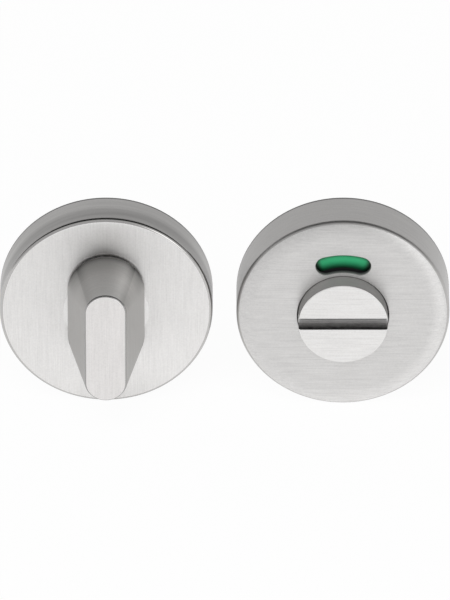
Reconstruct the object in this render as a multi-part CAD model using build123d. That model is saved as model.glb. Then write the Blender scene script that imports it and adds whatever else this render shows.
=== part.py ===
from build123d import *
from math import atan, cos, degrees, radians, sin, sqrt
import os

os.makedirs("parts", exist_ok=True)

# Toilet lock set: a thumb turn rose and a release rose, side by side, in millimetres.
# The door face is the plane y = 0. The roses stand out towards -Y and the spindle points to +Y.
# The origin is the centre of the thumb turn rose's back. +X points to the release rose, +Z is up.
# Each rose is drawn lying on its back, with its height along +Z, and is then stood up by place().

# Both roses
rose_r = 26.5
sheet = 1.2
between_roses = 5.9
inside_rose_h = 10.6
inside_edge_r = 1.1
outside_rose_h = 12.9
outside_edge_r = 1.2
shoulder_w = 4.0
shoulder_drop = 1.0
least_inner_edge_r = 0.3

# Thumb turn: a slot outline at the rose that tapers to a narrower slot outline at the front
grip_foot_w = 19.2
grip_foot_len = 32.1
grip_front_w = 10.3
grip_front_len = 30.4
grip_rise = 18.1
grip_gap = 0.4
grip_edge_r = 0.35
grip_foot_edge_r = 0.2
turn_neck_r = 7.0

# Square spindle and the screw that holds it
spindle_w = 5.0
spindle_len = 55.0
spindle_depth_in_grip = 9.0
spindle_chamfer = 0.8
grub_r = 1.5
grub_sunk = 0.5
grub_key_w = 1.5
grub_key_depth = 1.6

# Release button
button_r = 11.15
button_proud = 4.15
button_edge_r = 0.25
button_hole_gap = 0.2
button_hole_edge_r = 0.2
coin_slot_w = 2.7
coin_slot_depth = 2.8
button_neck_r = 6.0
socket_depth = 11.0
least_floor = 1.0

# Window and indicator
window_mid_r = 14.8
window_w = 5.2
window_half_angle = 16.9
window_edge_r = 0.1
disc_drop = 0.8
disc_t = 0.8
field_t = 0.3
field_crown = 0.35
field_margin = 0.6
field_short = 0.5
disc_rim = 0.3
green_half_angle = 45.0
peg_r = 1.0
peg_h = 1.4

# Bearing carrier behind the indicator disc
carrier_web = 1.5
disc_back_gap = 0.3

# Turning parts behind each bush
bush_wall = 1.45
bush_flange = 2.0
bush_flange_t = 1.4
spring_sheet = 0.35
spring_h = 0.85
stop_ring_t = 1.0
stop_ring_w = 3.0
stop_lug_len = 3.9
stop_lug_w = 3.0
stop_gap = 0.3
flat_depth = 0.8
circlip_t = 1.0
circlip_w = 1.9
circlip_groove = 0.3
circlip_gap_w = 4.0
circlip_ear_r = 1.7
circlip_ear_hole_r = 0.8
circlip_ear_offset = 1.2
neck_tail = 1.2

# Base plates
plate_web = 2.5
plate_rim_h = 5.5
plate_rim_w = 1.5
plate_rib_w = 1.2
plate_hole_gap = 0.8
pocket_depth = 1.3
pocket_half_angle = 17.0
pocket_margin = 1.2
stop_wall_w = 2.0
screw_circle_r = 19.0
screw_pad_r = 4.4
screw_pad_h = 4.5
snap_count = 4
snap_first_angle = 45.0
snap_w = 5.0
snap_slit = 0.8
snap_low = 1.6
snap_h = 1.1
snap_reach = 0.5
snap_groove_depth = 0.35

# Countersunk wood screws
screw_len = 20.0
screw_thread_r = 1.75
screw_core_r = 1.25
screw_head_r = 3.4
screw_head_rim = 0.4
screw_tip = 3.5
cross_w = 0.9
cross_len = 3.6
cross_depth = 1.3

# Clearances
run_gap = 0.05
seat_gap = 0.05
end_gap = 0.1
cover_gap = 0.3
pass_gap = 0.3

# Values that follow from the sizes above
cover_in_r = rose_r - sheet
spacing = 2 * rose_r + between_roses
plate_r = cover_in_r - cover_gap
inside_ceiling = inside_rose_h - sheet
outside_ceiling = outside_rose_h - sheet
grip_foot_z = inside_rose_h + grip_gap
grip_front_z = inside_rose_h + grip_rise
button_face_z = outside_rose_h + button_proud
button_hole_r = button_r + button_hole_gap
grub_len = turn_neck_r - spindle_w / 2 - grub_sunk
disc_front_z = outside_ceiling - disc_drop
disc_back_z = disc_front_z - disc_t
field_inner_r = window_mid_r - window_w / 2 + field_short
field_outer_r = window_mid_r + window_w / 2 + field_margin
disc_r = field_outer_r + disc_rim
carrier_front_z = disc_back_z - disc_back_gap
carrier_back_z = carrier_front_z - carrier_web
carrier_pocket_r = disc_r + pass_gap
shoulder_turn = 2 * atan(shoulder_drop / shoulder_w)
flat_face_r = rose_r - outside_edge_r * (1 - sin(shoulder_turn)) - shoulder_w
shoulder_low_z = outside_rose_h - shoulder_drop


def drum(radius, low, high):
    """A plain round solid between two heights."""
    return Pos(0, 0, low) * Cylinder(radius, high - low, align=(Align.CENTER, Align.CENTER, Align.MIN))


def ring(inner_r, outer_r, low, high):
    """A round solid with a round hole through it."""
    return drum(outer_r, low, high) - drum(inner_r, low - 1, high + 1)


def block(x_size, y_size, low, high, x_at=0.0, y_at=0.0):
    """A rectangular solid between two heights."""
    box = Box(x_size, y_size, high - low, align=(Align.CENTER, Align.CENTER, Align.MIN))
    return Pos(x_at, y_at, low) * box


def sector(inner_r, outer_r, low, high, middle, half):
    """Part of a ring, half degrees to each side of the middle angle."""
    start = middle - half
    profile = Plane.XZ * Pos((inner_r + outer_r) / 2, (low + high) / 2) * Rectangle(
        outer_r - inner_r, high - low
    )
    return Rot(0, 0, start) * revolve(profile, Axis.Z, 2 * half)


def place(shape, centre_x):
    """Stands a lying rose up against the door face, at its centre."""
    return Pos(centre_x, 0, 0) * Rot(90, 0, 0) * shape


def save(shape, name, centre_x):
    """Writes one piece in its place in the set."""
    shape = place(shape, centre_x)
    solids = shape.solids()
    shape = solids[0] if len(solids) == 1 else Compound(children=list(solids))
    export_step(shape, f"parts/{name}.step")


def arc_slot(mid_r, width, half, low, high):
    """A curved slot with round ends, centred on the +Y direction."""
    slot = sector(mid_r - width / 2, mid_r + width / 2, low, high, 90, half)
    for angle in (90 - half, 90 + half):
        end_x, end_y = mid_r * cos(radians(angle)), mid_r * sin(radians(angle))
        slot += Pos(end_x, end_y, 0) * drum(width / 2, low, high)
    return slot


def turned(outline):
    """A round solid from half of its section, drawn with the radius along X and the height along Y."""
    return revolve(Plane.XZ * make_face(outline), Axis.Z)


def snap_groove():
    """The groove in a cover's wall that the base plate snaps into."""
    groove_z = snap_low - end_gap
    return drum(cover_in_r + snap_groove_depth, groove_z, groove_z + snap_h + 2 * end_gap)


def inside_cover():
    """The thumb turn rose's shell, open at the back, with the hole for the bush."""
    outside = drum(rose_r, 0, inside_rose_h)
    outside = fillet(outside.edges().group_by(Axis.Z)[-1], inside_edge_r)
    hollow = drum(cover_in_r, 0, inside_ceiling)
    hollow = fillet(hollow.edges().group_by(Axis.Z)[-1], max(inside_edge_r - sheet, least_inner_edge_r))
    bush_hole = drum(turn_neck_r + run_gap + bush_wall + seat_gap, 0, inside_rose_h + 1)
    return outside - hollow - snap_groove() - bush_hole


def outside_shell():
    """The release rose's shell: a flat face that falls to the rim in a long soft shoulder."""
    edge_low_z = shoulder_low_z - outside_edge_r * cos(shoulder_turn)
    flat_end = (flat_face_r, outside_rose_h)
    shoulder_end = (flat_face_r + shoulder_w, shoulder_low_z)
    edge_end = (rose_r, edge_low_z)
    shoulder = TangentArc(flat_end, shoulder_end, tangent=(1, 0))
    edge = TangentArc(shoulder_end, edge_end, tangent=(cos(shoulder_turn), -sin(shoulder_turn)))
    rest = Polyline(edge_end, (rose_r, 0), (0, 0), (0, outside_rose_h), flat_end)
    return turned([shoulder, edge, rest]) - turned(under_shoulder(cover_in_r, 0, outside_ceiling, 0))


def under_shoulder(radius, low, top, gap):
    """The outline of a round body under the release rose's face, its corner cut off below the shoulder."""
    corner_z = top - shoulder_drop - gap
    return Polyline((0, low), (radius, low), (radius, corner_z), (flat_face_r - gap, top), (0, top), (0, low))


def outside_cover():
    """The release rose's shell, with the button hole and the curved window."""
    cover = outside_shell() - snap_groove()
    cover -= drum(button_hole_r, 0, outside_rose_h + 1)
    rim = cover.edges().filter_by(GeomType.CIRCLE).filter_by(
        lambda edge: abs(edge.radius - button_hole_r) < 0.01 and edge.center().Z > outside_ceiling + 0.01
    )
    cover = fillet(rim, button_hole_edge_r)
    cover -= arc_slot(window_mid_r, window_w, window_half_angle, outside_ceiling - 1, outside_rose_h + 1)
    window_rim = cover.edges().filter_by(
        lambda edge: abs(edge.center().Z - outside_rose_h) < 0.001
        and edge.bounding_box().size.Z < 0.001
        and edge.center().Y > button_hole_r * 0.5
        and edge.length < 2 * window_mid_r
    )
    return chamfer(window_rim, window_edge_r)


def neck_with_groove(neck_r, top_z, journal_low_z, ring_low_z, tail_z):
    """A round neck with two flats for the stop ring and a groove for the circlip."""
    neck = drum(neck_r, tail_z, top_z)
    flat_half = neck_r - flat_depth
    for side in (-1, 1):
        neck -= block(2, 4 * neck_r, tail_z - 1, journal_low_z, side * (flat_half + 1))
    groove_low = ring_low_z - end_gap - circlip_t - end_gap
    return neck - ring(neck_r - circlip_groove, neck_r + 1, groove_low, ring_low_z - end_gap)


class Stack:
    """Heights of the turning parts behind one bush flange, from the flange's back to the neck's end."""

    def __init__(self, flange_back_z):
        self.spring_top = flange_back_z - end_gap
        self.spring_low = self.spring_top - spring_h
        self.ring_top = self.spring_low - end_gap
        self.ring_low = self.ring_top - stop_ring_t
        self.clip_top = self.ring_low - end_gap
        self.clip_low = self.clip_top - circlip_t
        self.tail = self.clip_low - neck_tail


inside_flange_z = inside_ceiling - bush_flange_t
outside_flange_z = carrier_back_z - bush_flange_t
inside_stack = Stack(inside_flange_z)
outside_stack = Stack(outside_flange_z)


def slot_outline(width, length):
    """A slot outline that stands upright along Y."""
    return SlotOverall(length, width, rotation=90)


def square_hole(low, high):
    """The clear space for the square spindle."""
    width = spindle_w + 2 * seat_gap
    return block(width, width, low, high)


def grub_z():
    """The grub screw lies halfway up the bush, so the bush covers it."""
    return (inside_flange_z + inside_rose_h) / 2


def thumb_turn():
    """The tapered grip and its neck, one solid, with the square hole and the grub screw's hole."""
    foot = Pos(0, 0, grip_foot_z) * slot_outline(grip_foot_w, grip_foot_len)
    front = Pos(0, 0, grip_front_z) * slot_outline(grip_front_w, grip_front_len)
    grip = loft([foot, front], ruled=True)
    grip = fillet(grip.edges().group_by(Axis.Z)[-1], grip_edge_r)
    grip = fillet(grip.edges().group_by(Axis.Z)[0], grip_foot_edge_r)
    stack = inside_stack
    neck_top = grip_foot_z + 1
    turn = grip + neck_with_groove(turn_neck_r, neck_top, stack.ring_top, stack.ring_low, stack.tail)
    turn -= square_hole(stack.tail - 1, grip_foot_z + spindle_depth_in_grip)
    grub_hole = Cylinder(grub_r + seat_gap, 2 * turn_neck_r, align=(Align.CENTER, Align.CENTER, Align.MIN))
    return turn - Pos(0, 0, grub_z()) * Rot(0, 90, 0) * grub_hole


def spindle():
    """The square bar, with both ends chamfered."""
    top = grip_foot_z + spindle_depth_in_grip - end_gap
    bar = block(spindle_w, spindle_w, top - spindle_len, top)
    ends = bar.edges().group_by(Axis.Z)
    return chamfer(ends[0] + ends[-1], spindle_chamfer)


def grub_screw():
    """A short headless screw with a hexagon socket, which presses on the spindle."""
    screw = Cylinder(grub_r, grub_len, align=(Align.CENTER, Align.CENTER, Align.MIN))
    key = extrude(RegularPolygon(grub_key_w / 2, 6, major_radius=False), grub_key_depth)
    screw -= Pos(0, 0, grub_len - grub_key_depth) * key
    return Pos(spindle_w / 2, 0, grub_z()) * Rot(0, 90, 0) * screw


def bush(neck_r, sleeve_top, flange_top):
    """A flanged bush: the sleeve fits its hole and the flange bears against the inside."""
    sleeve_r = neck_r + run_gap + bush_wall
    low = flange_top - bush_flange_t
    body = drum(sleeve_r, low, sleeve_top) + drum(sleeve_r + bush_flange, low, flange_top)
    return body - drum(neck_r + run_gap, low - 1, sleeve_top + 1)


def spring_washer(neck_r, stack):
    """A curved washer: a ring cut from a sheet that is bent about one axis."""
    outer_r = neck_r + stop_ring_w
    rise = spring_h - spring_sheet
    bend_r = (outer_r**2 + rise**2) / (2 * rise)
    top = stack.spring_top
    sheet_tube = Rot(0, 90, 0) * (
        Cylinder(bend_r, 4 * outer_r) - Cylinder(bend_r - spring_sheet, 4 * outer_r + 2)
    )
    tube_top = Pos(0, 0, top - bend_r) * sheet_tube
    return tube_top & ring(neck_r + pass_gap, outer_r, stack.spring_low, top)


def stop_ring(neck_r, stack):
    """The keyed ring: its lug points up at rest and meets the base plate's wall at either limit."""
    outer_r = neck_r + stop_ring_w
    reach = outer_r + stop_lug_len
    body = drum(outer_r, stack.ring_low, stack.ring_top)
    body += block(stop_lug_w, reach, stack.ring_low, stack.ring_top, 0, reach / 2)
    hole = drum(neck_r + seat_gap, stack.ring_low - 1, stack.ring_top + 1)
    hole &= block(2 * (neck_r - flat_depth + seat_gap), 4 * neck_r, stack.ring_low - 1, stack.ring_top + 1)
    return body - hole


def circlip(neck_r, stack):
    """An open retaining ring with two ears for the pliers."""
    inner_r = neck_r - circlip_groove + seat_gap
    outer_r = inner_r + circlip_w
    low, high = stack.clip_low, stack.clip_top
    body = ring(inner_r, outer_r, low, high)
    body -= block(circlip_gap_w, 2 * outer_r, low - 1, high + 1, 0, -outer_r)
    ear_x = circlip_gap_w / 2 + circlip_ear_offset
    ear_y = -sqrt(outer_r**2 - ear_x**2)
    for side in (-1, 1):
        body += Pos(side * ear_x, ear_y, 0) * drum(circlip_ear_r, low, high)
    for side in (-1, 1):
        body -= Pos(side * ear_x, ear_y, 0) * drum(circlip_ear_hole_r, low - 1, high + 1)
    return body - drum(inner_r, low - 1, high + 1)


def ear_reach(neck_r):
    """How far a circlip's ears reach from the axis."""
    return neck_r - circlip_groove + seat_gap + circlip_w + circlip_ear_r


def base_plate(neck_r, stack):
    """The moulded plate: web, rim, screw pads, ribs and the wall that stops the lug at both limits."""
    hole_r = ear_reach(neck_r) + plate_hole_gap
    wall_r = hole_r + stop_wall_w
    wall_top = stack.ring_top + pass_gap
    plate = drum(plate_r, 0, plate_web) + ring(plate_r - plate_rim_w, plate_r, 0, plate_rim_h)
    plate += ring(hole_r, wall_r, 0, wall_top)
    for side in (-1, 1):
        plate += Pos(side * screw_circle_r, 0, 0) * drum(screw_pad_r, 0, screw_pad_h)
    for angle in (45, 135):
        plate += Rot(0, 0, angle) * block(2 * plate_r - plate_rim_w, plate_rib_w, 0, screw_pad_h)
    plate -= drum(hole_r, -1, wall_top + 1)
    pocket_in_r, pocket_out_r = wall_r + pocket_margin, plate_r - plate_rim_w - pocket_margin
    for angle in (45, 90, 135, 225, 270, 315):
        plate -= sector(pocket_in_r, pocket_out_r, -1, pocket_depth, angle, pocket_half_angle)
    lug_reach = neck_r + stop_ring_w + stop_lug_len + pass_gap
    lug_side = stop_lug_w / 2 + stop_gap
    lug_way = drum(lug_reach, stack.ring_low - pass_gap, wall_top + 1)
    lug_way &= block(4 * rose_r, 4 * rose_r, 0, wall_top + 1, 0, 2 * rose_r - lug_side)
    return finish_plate(plate - lug_way)


def finish_plate(plate):
    """Adds the snap noses with their slits, and the countersunk screw holes."""
    for count in range(snap_count):
        turn = Rot(0, 0, snap_first_angle + count * 360 / snap_count)
        nose = ring(plate_r - plate_rim_w, plate_r + snap_reach, snap_low, snap_low + snap_h)
        plate += turn * (nose & block(2 * snap_reach + 4 * plate_rim_w, snap_w, 0, plate_rim_h, plate_r))
        for side in (-1, 1):
            slit_y = side * (snap_w + snap_slit) / 2
            slit = block(3 * plate_rim_w, snap_slit, -1, plate_rim_h + 1, plate_r, slit_y)
            plate -= turn * slit
    for side in (-1, 1):
        plate -= Pos(side * screw_circle_r, 0, 0) * screw_hole()
    return plate


def screw_hole():
    """A countersunk hole with room for the screw's threaded part to pass."""
    bore_r = screw_thread_r + pass_gap
    head_r = screw_head_r + seat_gap
    depth = head_r - bore_r
    rim_low = screw_pad_h - screw_head_rim - seat_gap
    hole = drum(bore_r, -1, screw_pad_h + 1)
    hole += drum(head_r, rim_low, screw_pad_h + 1)
    hole += Pos(0, 0, rim_low - depth / 2) * Cone(bore_r, head_r, depth)
    return hole


def wood_screw():
    """A countersunk screw: head flush with the pad, thin shank in the plate, threaded part in the door."""
    cone_h = screw_head_r - screw_core_r
    cone_top = screw_pad_h - screw_head_rim
    screw = drum(screw_head_r, cone_top, screw_pad_h)
    screw += Pos(0, 0, cone_top - cone_h / 2) * Cone(screw_core_r, screw_head_r, cone_h)
    end = screw_pad_h - screw_len
    screw += drum(screw_core_r, 0, cone_top - cone_h)
    screw += drum(screw_thread_r, end + screw_tip, 0)
    screw += Pos(0, 0, end + screw_tip / 2) * Cone(0.2, screw_thread_r, screw_tip)
    for long_x, long_y in ((cross_len, cross_w), (cross_w, cross_len)):
        screw -= block(long_x, long_y, screw_pad_h - cross_depth, screw_pad_h + 1)
    return screw


def fixing_screws():
    """The two screws of one rose, as separate solids."""
    return Compound(children=[Pos(side * screw_circle_r, 0, 0) * wood_screw() for side in (-1, 1)])


def release_button():
    """The button with its coin slot, and the neck with the square socket behind it."""
    head = drum(button_r, disc_front_z, button_face_z)
    head = fillet(head.edges().group_by(Axis.Z)[-1], button_edge_r)
    head -= block(4 * button_r, coin_slot_w, button_face_z - coin_slot_depth, button_face_z + 1)
    stack = outside_stack
    neck_top = disc_front_z + 1
    button = head + neck_with_groove(button_neck_r, neck_top, stack.ring_top, stack.ring_low, stack.tail)
    socket_end = min(stack.tail + socket_depth, button_face_z - coin_slot_depth - least_floor)
    button -= square_hole(stack.tail - 1, socket_end)
    for side in (-1, 1):
        peg_x = side * (button_neck_r + button_r) / 2
        button -= Pos(peg_x, 0, 0) * drum(peg_r + seat_gap, disc_front_z - 1, disc_front_z + peg_h + end_gap)
    return button


def indicator_disc():
    """The disc under the button: two pegs drive it and a shallow channel holds the coloured fields."""
    disc = ring(button_neck_r + seat_gap, disc_r, disc_back_z, disc_front_z)
    disc -= ring(field_inner_r, field_outer_r, disc_front_z - field_t, disc_front_z + 1)
    for side in (-1, 1):
        peg_x = side * (button_neck_r + button_r) / 2
        disc += Pos(peg_x, 0, 0) * drum(peg_r, disc_back_z, disc_front_z + peg_h)
    return disc


def indicator_field(middle, half):
    """One coloured field, part of a ring with a crowned front, laid in the disc's channel."""
    inner_r, outer_r = field_inner_r + seat_gap, field_outer_r - seat_gap
    low = disc_front_z - field_t
    crown = ((inner_r + outer_r) / 2, disc_front_z + field_crown)
    front = ThreePointArc((inner_r, disc_front_z), crown, (outer_r, disc_front_z))
    rest = Polyline((outer_r, disc_front_z), (outer_r, low), (inner_r, low), (inner_r, disc_front_z))
    half -= degrees(seat_gap / window_mid_r)
    return Rot(0, 0, middle - half) * revolve(Plane.XZ * make_face([front, rest]), Axis.Z, 2 * half)


def bearing_carrier():
    """The moulded insert: its rim bears against the cover and leaves room for the disc."""
    top = outside_ceiling
    body = turned(under_shoulder(cover_in_r - seat_gap, carrier_back_z, top, pass_gap))
    body -= drum(carrier_pocket_r, carrier_front_z, top + 1)
    return body - drum(button_neck_r + run_gap + bush_wall + seat_gap, carrier_back_z - 1, top + 1)


def build_inside_rose():
    """Writes the pieces of the thumb turn rose."""
    save(inside_cover(), "inside_rose_cover", 0)
    save(thumb_turn(), "thumb_turn", 0)
    save(spindle(), "turn_spindle", 0)
    save(grub_screw(), "spindle_grub_screw", 0)
    save(bush(turn_neck_r, grip_foot_z - end_gap, inside_ceiling), "inside_bearing_bush", 0)
    save(spring_washer(turn_neck_r, inside_stack), "inside_spring_washer", 0)
    save(stop_ring(turn_neck_r, inside_stack), "inside_stop_ring", 0)
    save(circlip(turn_neck_r, inside_stack), "inside_circlip", 0)
    save(base_plate(turn_neck_r, inside_stack), "inside_base_plate", 0)
    save(fixing_screws(), "inside_fixing_screws", 0)


def build_outside_rose():
    """Writes the pieces of the release rose."""
    save(outside_cover(), "outside_rose_cover", spacing)
    save(release_button(), "release_button", spacing)
    save(indicator_disc(), "indicator_disc", spacing)
    save(indicator_field(90, green_half_angle), "indicator_green_field", spacing)
    save(indicator_field(270, 180 - green_half_angle), "indicator_red_field", spacing)
    save(bearing_carrier(), "outside_bearing_carrier", spacing)
    save(bush(button_neck_r, carrier_front_z - seat_gap, carrier_back_z), "outside_bearing_bush", spacing)
    save(spring_washer(button_neck_r, outside_stack), "outside_spring_washer", spacing)
    save(stop_ring(button_neck_r, outside_stack), "outside_stop_ring", spacing)
    save(circlip(button_neck_r, outside_stack), "outside_circlip", spacing)
    save(base_plate(button_neck_r, outside_stack), "outside_base_plate", spacing)
    save(fixing_screws(), "outside_fixing_screws", spacing)


build_inside_rose()
build_outside_rose()
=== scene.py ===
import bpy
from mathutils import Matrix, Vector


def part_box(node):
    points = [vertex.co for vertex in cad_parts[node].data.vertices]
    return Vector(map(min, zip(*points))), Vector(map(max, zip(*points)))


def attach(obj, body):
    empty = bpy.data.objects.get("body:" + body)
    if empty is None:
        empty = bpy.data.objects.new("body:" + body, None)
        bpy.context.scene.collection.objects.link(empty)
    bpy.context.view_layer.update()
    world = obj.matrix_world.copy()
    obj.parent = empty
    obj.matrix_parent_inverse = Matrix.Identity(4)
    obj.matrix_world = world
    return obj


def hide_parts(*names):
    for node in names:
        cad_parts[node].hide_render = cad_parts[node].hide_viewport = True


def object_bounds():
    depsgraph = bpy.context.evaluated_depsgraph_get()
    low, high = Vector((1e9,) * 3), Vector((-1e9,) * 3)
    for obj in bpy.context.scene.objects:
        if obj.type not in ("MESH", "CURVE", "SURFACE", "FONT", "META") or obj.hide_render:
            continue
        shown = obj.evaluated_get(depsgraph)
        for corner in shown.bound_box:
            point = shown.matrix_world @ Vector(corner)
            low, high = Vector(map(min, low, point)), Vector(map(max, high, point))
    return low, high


bl_info = {
    "name": "Toilet lock set",
    "version": (1, 0, 0),
    "blender": (4, 5, 0),
    "location": "View3D > Sidebar > Lock Set",
    "description": "Models and dresses a thumb turn rose and a coin release rose in brushed steel",
    "category": "Object",
}

from math import atan, cos, hypot, pi, radians, sin, sqrt, tan

import bmesh
import bpy
from bpy.props import FloatProperty, FloatVectorProperty, PointerProperty
from mathutils import Matrix, Vector

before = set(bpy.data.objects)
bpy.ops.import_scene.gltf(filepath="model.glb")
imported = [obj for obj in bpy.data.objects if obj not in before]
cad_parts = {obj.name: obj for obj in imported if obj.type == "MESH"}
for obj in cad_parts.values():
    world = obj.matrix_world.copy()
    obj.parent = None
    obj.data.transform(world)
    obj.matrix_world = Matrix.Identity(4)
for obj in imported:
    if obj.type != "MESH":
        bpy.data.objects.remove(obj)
cad_low, cad_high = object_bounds()

MM = 0.001
STEPS_ROUND = 192

# Faces that meet at more than SHARP keep a crisp edge, and points within HAIR of each other count as
# one. A face is level when its normal stands up or down to LEVEL.
SHARP = radians(32)
HAIR = 0.01 * MM
LEVEL = 0.99


def span(node):
    """The size of a frame node along X, Y and Z."""
    low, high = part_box(node)
    return high - low


def middle_x(node):
    """Where a frame node's middle stands along X."""
    low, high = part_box(node)
    return (low.x + high.x) / 2


def front_height(node):
    """How far a frame node's front stands off the door."""
    return -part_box(node)[0].y


def back_height(node):
    """How far a frame node's back stands off the door."""
    return -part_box(node)[1].y


INSIDE_X = 0.0
OUTSIDE_X = middle_x("outside_rose_cover")
ROSE_R = span("outside_rose_cover").x / 2
INSIDE_H = front_height("inside_rose_cover")
OUTSIDE_H = front_height("outside_rose_cover")


def length(name, description, default):
    """A property that holds a size in metres."""
    return FloatProperty(name=name, description=description, default=default, unit="LENGTH", precision=5)


def colour(name, description, default):
    """A property that holds a colour."""
    return FloatVectorProperty(name=name, description=description, default=default, subtype="COLOR")


def angle(name, description, default):
    """A property that holds an angle."""
    return FloatProperty(name=name, description=description, default=default, subtype="ANGLE")


class StageSettings(bpy.types.PropertyGroup):
    """The camera, the floor and the light."""

    elevation: angle("Camera elevation", "How far the camera looks down", radians(31.4))
    distance: length("Camera distance", "From the camera to the point it looks at", 3.432)
    lens: FloatProperty(name="Lens", description="Focal length in millimetres", default=825.3)
    target: FloatVectorProperty(
        name="Camera target", description="The point in the middle of the picture",
        default=(OUTSIDE_X / 2 + 0.11 * MM, 0.0, -3.36 * MM), subtype="TRANSLATION",
    )
    floor_half: length("Floor half width", "Half the side of the square floor", 6.0)
    floor_colour: colour("Floor", "Colour of the floor", (0.93, 0.93, 0.93))
    floor_white: FloatProperty(
        name="Floor whiteness", description="How much of the seen floor is even white", default=0.96,
    )
    mirrored_white: FloatProperty(
        name="Mirrored whiteness", description="How much of the mirrored floor is even white", default=0.6,
    )
    mirrored_left: FloatProperty(
        name="Floor to the left", description="How bright steel mirrors the floor to the left", default=0.92,
    )
    mirrored_right: FloatProperty(
        name="Floor to the right", description="How bright steel mirrors the floor to the right", default=1.0,
    )
    mirrored_behind: FloatProperty(
        name="Floor behind", description="Share of its brightness the mirrored floor keeps behind the roses",
        default=0.8,
    )
    mirrored_far: FloatProperty(
        name="Floor further off", description="Share of its brightness the mirrored floor keeps further off",
        default=0.9,
    )
    front_level: FloatProperty(
        name="Front light", description="Brightness of the room behind the camera", default=0.52,
    )
    back_level: FloatProperty(
        name="Back light", description="Brightness of the room behind the roses", default=0.62,
    )
    softbox_level: FloatProperty(
        name="Softbox", description="Brightness of the low softbox at the right", default=1.2,
    )
    softbox_turn: angle("Softbox direction", "From the camera to the softbox, to the right", radians(34))
    softbox_edge: angle("Softbox edge", "From the softbox's middle to its soft edge", radians(15))
    softbox_full: angle("Softbox core", "From the softbox's middle to where it is full", radians(7))
    ceiling_level: FloatProperty(
        name="Ceiling light", description="Brightness of the dark ceiling", default=0.03,
    )
    ceiling_lean: angle("Ceiling lean", "From straight up to the dark ceiling's middle", radians(6))
    ceiling_edge: angle("Ceiling edge", "From the dark ceiling's middle to its soft edge", radians(34))
    ceiling_full: angle("Ceiling core", "From the dark ceiling's middle to where it is full", radians(20))
    lamp_power: FloatProperty(
        name="Lamp", description="Power of the soft lamp over the set", default=30.0, unit="POWER",
    )
    lamp_size: length("Lamp size", "Side of the square lamp", 1.6)
    lamp_place: FloatVectorProperty(
        name="Lamp place", description="Where the soft lamp hangs", default=(-0.3, -1.2, 1.6),
        subtype="TRANSLATION",
    )


class LockColours(bpy.types.PropertyGroup):
    """The colours of the finishes."""

    inside_steel: colour("Inside steel", "Brushed face of the thumb turn rose", (0.945, 0.933, 0.922))
    outside_steel: colour("Outside steel", "Brushed face of the release rose", (0.91, 0.9, 0.89))
    # Painted shade: the sides get a much darker steel than the faces.
    shaded_side_steel: colour("Side steel", "Turned stainless steel of the roses' sides", (0.61, 0.6, 0.59))
    # Painted shade: these edges get a much darker steel than the faces.
    shaded_edge_steel: colour("Edge steel", "Polished edges of the roses and of the grip's foot", (0.6, 0.59, 0.58))
    # Painted shade: the edge round the turn's front gets a far darker steel than the front.
    shaded_turn_edge_steel: colour("Turn's edge", "Polished edge of the turn's front", (0.42, 0.415, 0.41))
    ring_steel: colour("Ring steel", "Ring under the thumb turn, and the button's edge", (0.95, 0.94, 0.93))
    turn_steel: colour("Turn steel", "Ground front of the thumb turn", (0.915, 0.894, 0.883))
    # Painted shade: the flanks get a much darker steel than the turn's front.
    shaded_flank_steel: colour("Flank steel", "Ground flanks of the thumb turn", (0.56, 0.552, 0.54))
    button_steel: colour("Button steel", "Faced front of the release button", (0.955, 0.944, 0.933))
    # Painted shade: the button's side gets a dark grey far below its front's steel.
    shaded_button_side_steel: colour("Button side", "Coarsely turned side of the button", (0.29, 0.284, 0.278))
    slot_floor_steel: colour("Slot floor", "Milled floor of the coin slot", (0.92, 0.91, 0.9))
    # Painted shade: the slot's walls get a far darker steel than its floor.
    shaded_slot_wall_steel: colour("Slot walls", "Milled walls of the coin slot", (0.38, 0.375, 0.37))
    # Painted shade: the window's walls get a near black grey.
    shaded_window_wall_steel: colour("Window walls", "Punched edge of the window", (0.22, 0.218, 0.215))
    zinc: colour("Zinc", "Bright zinc plate", (0.62, 0.64, 0.66))
    spring: colour("Spring steel", "Blued spring steel", (0.16, 0.17, 0.19))
    nylon: colour("Nylon", "Black glass filled nylon", (0.022, 0.022, 0.024))
    acetal: colour("Acetal", "Natural white acetal", (0.82, 0.81, 0.77))
    disc: colour("Disc", "Black moulded disc", (0.012, 0.012, 0.013))
    green: colour("Green", "The field that shows a free room", (0.024, 0.465, 0.187))
    red: colour("Red", "The field that shows an occupied room", (0.5, 0.02, 0.02))


class CoverSizes(bpy.types.PropertyGroup):
    """The pressed shells of the two roses."""

    sheet: length("Sheet", "Thickness of the steel", 1.2 * MM)
    inside_edge: length("Inside edge", "Edge radius of the thumb turn rose", 1.1 * MM)
    outside_edge: length("Outside edge", "Edge radius of the release rose", 1.2 * MM)
    shoulder: length("Shoulder", "Width of the release rose's soft shoulder", 4.0 * MM)
    shoulder_drop: length("Shoulder drop", "How far the shoulder falls to the edge", 1.0 * MM)
    ring: length("Ring", "Radius of the low ring under the thumb turn", 10.65 * MM)
    ring_height: length("Ring height", "How far the ring stands off the face", 0.22 * MM)
    bush_hole: length("Bush hole", "Radius of the hole for the turn's bush", 8.55 * MM)
    button_hole: length("Button hole", "Radius of the hole for the button", 11.35 * MM)
    hole_edge: length("Hole edge", "Edge radius of the holes", 0.2 * MM)
    back_edge: length("Back edge", "Edge radius of the rim at the door", 0.15 * MM)
    window_middle: length("Window middle", "Radius of the window's middle line", 14.88 * MM)
    window_width: length("Window width", "Width of the window", 5.04 * MM)
    window_half: angle("Window half angle", "From the window's middle to the centre of an end", radians(16.9))
    window_edge: length("Window edge", "Chamfer of the window", 0.12 * MM)


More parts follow.
